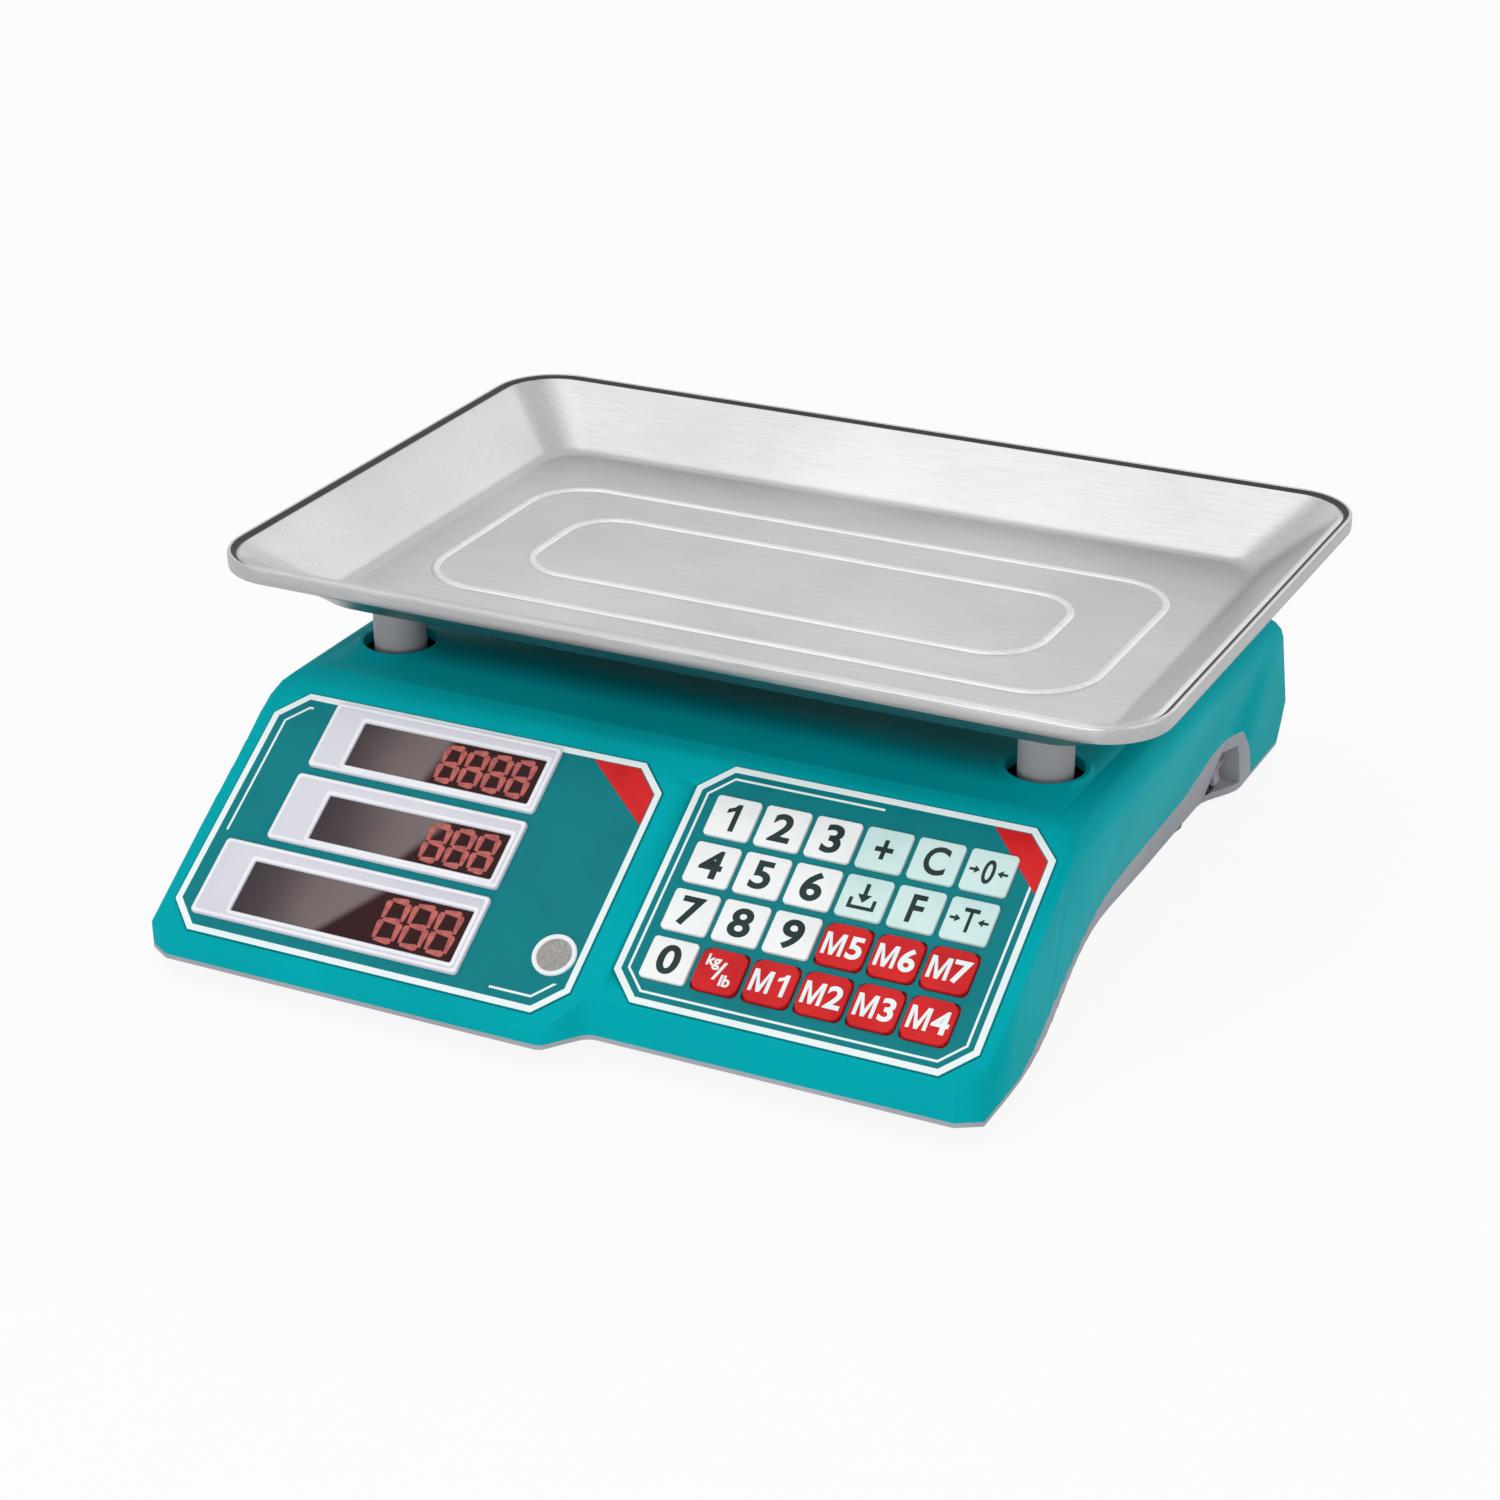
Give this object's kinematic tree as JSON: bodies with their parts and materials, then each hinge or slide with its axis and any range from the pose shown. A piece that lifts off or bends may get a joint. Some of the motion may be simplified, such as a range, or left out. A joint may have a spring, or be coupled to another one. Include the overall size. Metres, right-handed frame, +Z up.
{
  "type": "price computing scale",
  "caption": "Counter-top price computing scale with a lift-off steel tray on a load cell platform, a sloping front with displays and a keypad, a rear display and levelling feet.",
  "frame": {"origin": "centre of the overall box's underside, on the surface that the feet stand on", "axes": "+X to the keypad's side (right, seen from the operator's front), +Y to the rear, +Z up"},
  "size_m": [0.34, 0.334, 0.114],
  "materials": {
    "tray_steel": "satin, lightly brushed",
    "cast_aluminium": "as cast",
    "cell_aluminium": "machined",
    "grey_plastic": "matte grey",
    "zinc_steel": "zinc plated",
    "teal_plastic": "fine matte, blue-green",
    "base_grey_plastic": "matte light grey",
    "panel_film": "smooth printed overlay, darker blue-green",
    "bezel_plastic": "matte pale lilac grey",
    "window_plastic": "glossy dark red filter",
    "module_plastic": "dark red digit blocks",
    "circuit_board": "green laminate",
    "dome_rubber": "translucent white silicone",
    "level_plastic": "clear over pale grey",
    "core_iron": "varnished laminations and winding",
    "battery_plastic": "matte dark grey",
    "black_plastic": "matte black",
    "rocker_plastic": "smooth light grey",
    "foot_rubber": "matte black",
    "white_key": "smooth white",
    "cyan_key": "smooth pale blue-green",
    "red_key": "smooth red"
  },
  "bodies": {
    "body": {"load_cell": "cell_aluminium", "cell_bolts": "zinc_steel", "upper_housing": "teal_plastic", "base_pan": "base_grey_plastic", "housing_screws": "zinc_steel", "display_panel": "panel_film", "keypad_panel": "panel_film", "bezel_weight": "bezel_plastic", "bezel_price": "bezel_plastic", "bezel_amount": "bezel_plastic", "window_weight": "window_plastic", "window_price": "window_plastic", "window_amount": "window_plastic", "digit_modules": "module_plastic", "display_board": "circuit_board", "keypad_board": "circuit_board", "key_domes": "dome_rubber", "level_vial": "level_plastic", "rear_panel": "panel_film", "rear_window": "window_plastic", "rear_board": "circuit_board", "main_board": "circuit_board", "transformer": "core_iron", "battery": "battery_plastic", "battery_door": "base_grey_plastic", "power_switch": "black_plastic", "mains_inlet": "black_plastic"},
    "platform": {"platform_spider": "cast_aluminium", "platform_posts": "grey_plastic", "platform_bolts": "zinc_steel"},
    "tray": {"tray": "tray_steel"},
    "power_rocker": {"power_rocker": "rocker_plastic"},
    "foot_front_left": {"foot_front_left": "foot_rubber"},
    "foot_front_right": {"foot_front_right": "foot_rubber"},
    "foot_rear_left": {"foot_rear_left": "foot_rubber"},
    "foot_rear_right": {"foot_rear_right": "foot_rubber"},
    "key_1": {"key_1": "white_key"},
    "key_2": {"key_2": "white_key"},
    "key_3": {"key_3": "white_key"},
    "key_add": {"key_add": "cyan_key"},
    "key_clear": {"key_clear": "cyan_key"},
    "key_zero": {"key_zero": "cyan_key"},
    "key_4": {"key_4": "white_key"},
    "key_5": {"key_5": "white_key"},
    "key_6": {"key_6": "white_key"},
    "key_save": {"key_save": "cyan_key"},
    "key_function": {"key_function": "cyan_key"},
    "key_tare": {"key_tare": "cyan_key"},
    "key_7": {"key_7": "white_key"},
    "key_8": {"key_8": "white_key"},
    "key_9": {"key_9": "white_key"},
    "key_m5": {"key_m5": "red_key"},
    "key_m6": {"key_m6": "red_key"},
    "key_m7": {"key_m7": "red_key"},
    "key_0": {"key_0": "white_key"},
    "key_unit": {"key_unit": "red_key"},
    "key_m1": {"key_m1": "red_key"},
    "key_m2": {"key_m2": "red_key"},
    "key_m3": {"key_m3": "red_key"},
    "key_m4": {"key_m4": "red_key"}
  },
  "joints": [
    {"name": "platform_travel", "type": "slide", "parent": "body", "child": "platform", "axis": [0, 0, -1], "range_m": [0, 0.0006], "stiffness_N_per_m": 300000, "deforming": ["load_cell"]},
    {"name": "tray_lift", "type": "slide", "parent": "platform", "child": "tray", "axis": [0, 0, 1], "range_m": [0, 0.06]},
    {"name": "key_1_press", "type": "slide", "parent": "body", "child": "key_1", "axis": [0, 0.5461, -0.8377], "range_m": [0, 0.0008], "stiffness_N_per_m": 1500},
    {"name": "key_2_press", "type": "slide", "parent": "body", "child": "key_2", "axis": [0, 0.5461, -0.8377], "range_m": [0, 0.0008], "stiffness_N_per_m": 1500},
    {"name": "key_3_press", "type": "slide", "parent": "body", "child": "key_3", "axis": [0, 0.5461, -0.8377], "range_m": [0, 0.0008], "stiffness_N_per_m": 1500},
    {"name": "key_add_press", "type": "slide", "parent": "body", "child": "key_add", "axis": [0, 0.5461, -0.8377], "range_m": [0, 0.0008], "stiffness_N_per_m": 1500},
    {"name": "key_clear_press", "type": "slide", "parent": "body", "child": "key_clear", "axis": [0, 0.5461, -0.8377], "range_m": [0, 0.0008], "stiffness_N_per_m": 1500},
    {"name": "key_zero_press", "type": "slide", "parent": "body", "child": "key_zero", "axis": [0, 0.5461, -0.8377], "range_m": [0, 0.0008], "stiffness_N_per_m": 1500},
    {"name": "key_4_press", "type": "slide", "parent": "body", "child": "key_4", "axis": [0, 0.5461, -0.8377], "range_m": [0, 0.0008], "stiffness_N_per_m": 1500},
    {"name": "key_5_press", "type": "slide", "parent": "body", "child": "key_5", "axis": [0, 0.5461, -0.8377], "range_m": [0, 0.0008], "stiffness_N_per_m": 1500},
    {"name": "key_6_press", "type": "slide", "parent": "body", "child": "key_6", "axis": [0, 0.5461, -0.8377], "range_m": [0, 0.0008], "stiffness_N_per_m": 1500},
    {"name": "key_save_press", "type": "slide", "parent": "body", "child": "key_save", "axis": [0, 0.5461, -0.8377], "range_m": [0, 0.0008], "stiffness_N_per_m": 1500},
    {"name": "key_function_press", "type": "slide", "parent": "body", "child": "key_function", "axis": [0, 0.5461, -0.8377], "range_m": [0, 0.0008], "stiffness_N_per_m": 1500},
    {"name": "key_tare_press", "type": "slide", "parent": "body", "child": "key_tare", "axis": [0, 0.5461, -0.8377], "range_m": [0, 0.0008], "stiffness_N_per_m": 1500},
    {"name": "key_7_press", "type": "slide", "parent": "body", "child": "key_7", "axis": [0, 0.5461, -0.8377], "range_m": [0, 0.0008], "stiffness_N_per_m": 1500},
    {"name": "key_8_press", "type": "slide", "parent": "body", "child": "key_8", "axis": [0, 0.5461, -0.8377], "range_m": [0, 0.0008], "stiffness_N_per_m": 1500},
    {"name": "key_9_press", "type": "slide", "parent": "body", "child": "key_9", "axis": [0, 0.5461, -0.8377], "range_m": [0, 0.0008], "stiffness_N_per_m": 1500},
    {"name": "key_m5_press", "type": "slide", "parent": "body", "child": "key_m5", "axis": [0, 0.5461, -0.8377], "range_m": [0, 0.0008], "stiffness_N_per_m": 1500},
    {"name": "key_m6_press", "type": "slide", "parent": "body", "child": "key_m6", "axis": [0, 0.5461, -0.8377], "range_m": [0, 0.0008], "stiffness_N_per_m": 1500},
    {"name": "key_m7_press", "type": "slide", "parent": "body", "child": "key_m7", "axis": [0, 0.5461, -0.8377], "range_m": [0, 0.0008], "stiffness_N_per_m": 1500},
    {"name": "key_0_press", "type": "slide", "parent": "body", "child": "key_0", "axis": [0, 0.5461, -0.8377], "range_m": [0, 0.0008], "stiffness_N_per_m": 1500},
    {"name": "key_unit_press", "type": "slide", "parent": "body", "child": "key_unit", "axis": [0, 0.5461, -0.8377], "range_m": [0, 0.0008], "stiffness_N_per_m": 1500},
    {"name": "key_m1_press", "type": "slide", "parent": "body", "child": "key_m1", "axis": [0, 0.5461, -0.8377], "range_m": [0, 0.0008], "stiffness_N_per_m": 1500},
    {"name": "key_m2_press", "type": "slide", "parent": "body", "child": "key_m2", "axis": [0, 0.5461, -0.8377], "range_m": [0, 0.0008], "stiffness_N_per_m": 1500},
    {"name": "key_m3_press", "type": "slide", "parent": "body", "child": "key_m3", "axis": [0, 0.5461, -0.8377], "range_m": [0, 0.0008], "stiffness_N_per_m": 1500},
    {"name": "key_m4_press", "type": "slide", "parent": "body", "child": "key_m4", "axis": [0, 0.5461, -0.8377], "range_m": [0, 0.0008], "stiffness_N_per_m": 1500},
    {"name": "power_rocker_turn", "type": "hinge", "parent": "body", "child": "power_rocker", "pos_m": [0.127, 0.1039, 0.014], "axis": [0, -1, 0], "range_deg": [0, 14]},
    {"name": "foot_front_left_screw", "type": "hinge", "parent": "body", "child": "foot_front_left", "pos_m": [-0.122, -0.127, 0.01], "axis": [0, 0, 1], "range_deg": [-360, 360]},
    {"name": "foot_front_right_screw", "type": "hinge", "parent": "body", "child": "foot_front_right", "pos_m": [0.122, -0.127, 0.01], "axis": [0, 0, 1], "range_deg": [-360, 360]},
    {"name": "foot_rear_left_screw", "type": "hinge", "parent": "body", "child": "foot_rear_left", "pos_m": [-0.116, 0.08, 0.01], "axis": [0, 0, 1], "range_deg": [-360, 360]},
    {"name": "foot_rear_right_screw", "type": "hinge", "parent": "body", "child": "foot_rear_right", "pos_m": [0.116, 0.08, 0.01], "axis": [0, 0, 1], "range_deg": [-360, 360]}
  ]
}
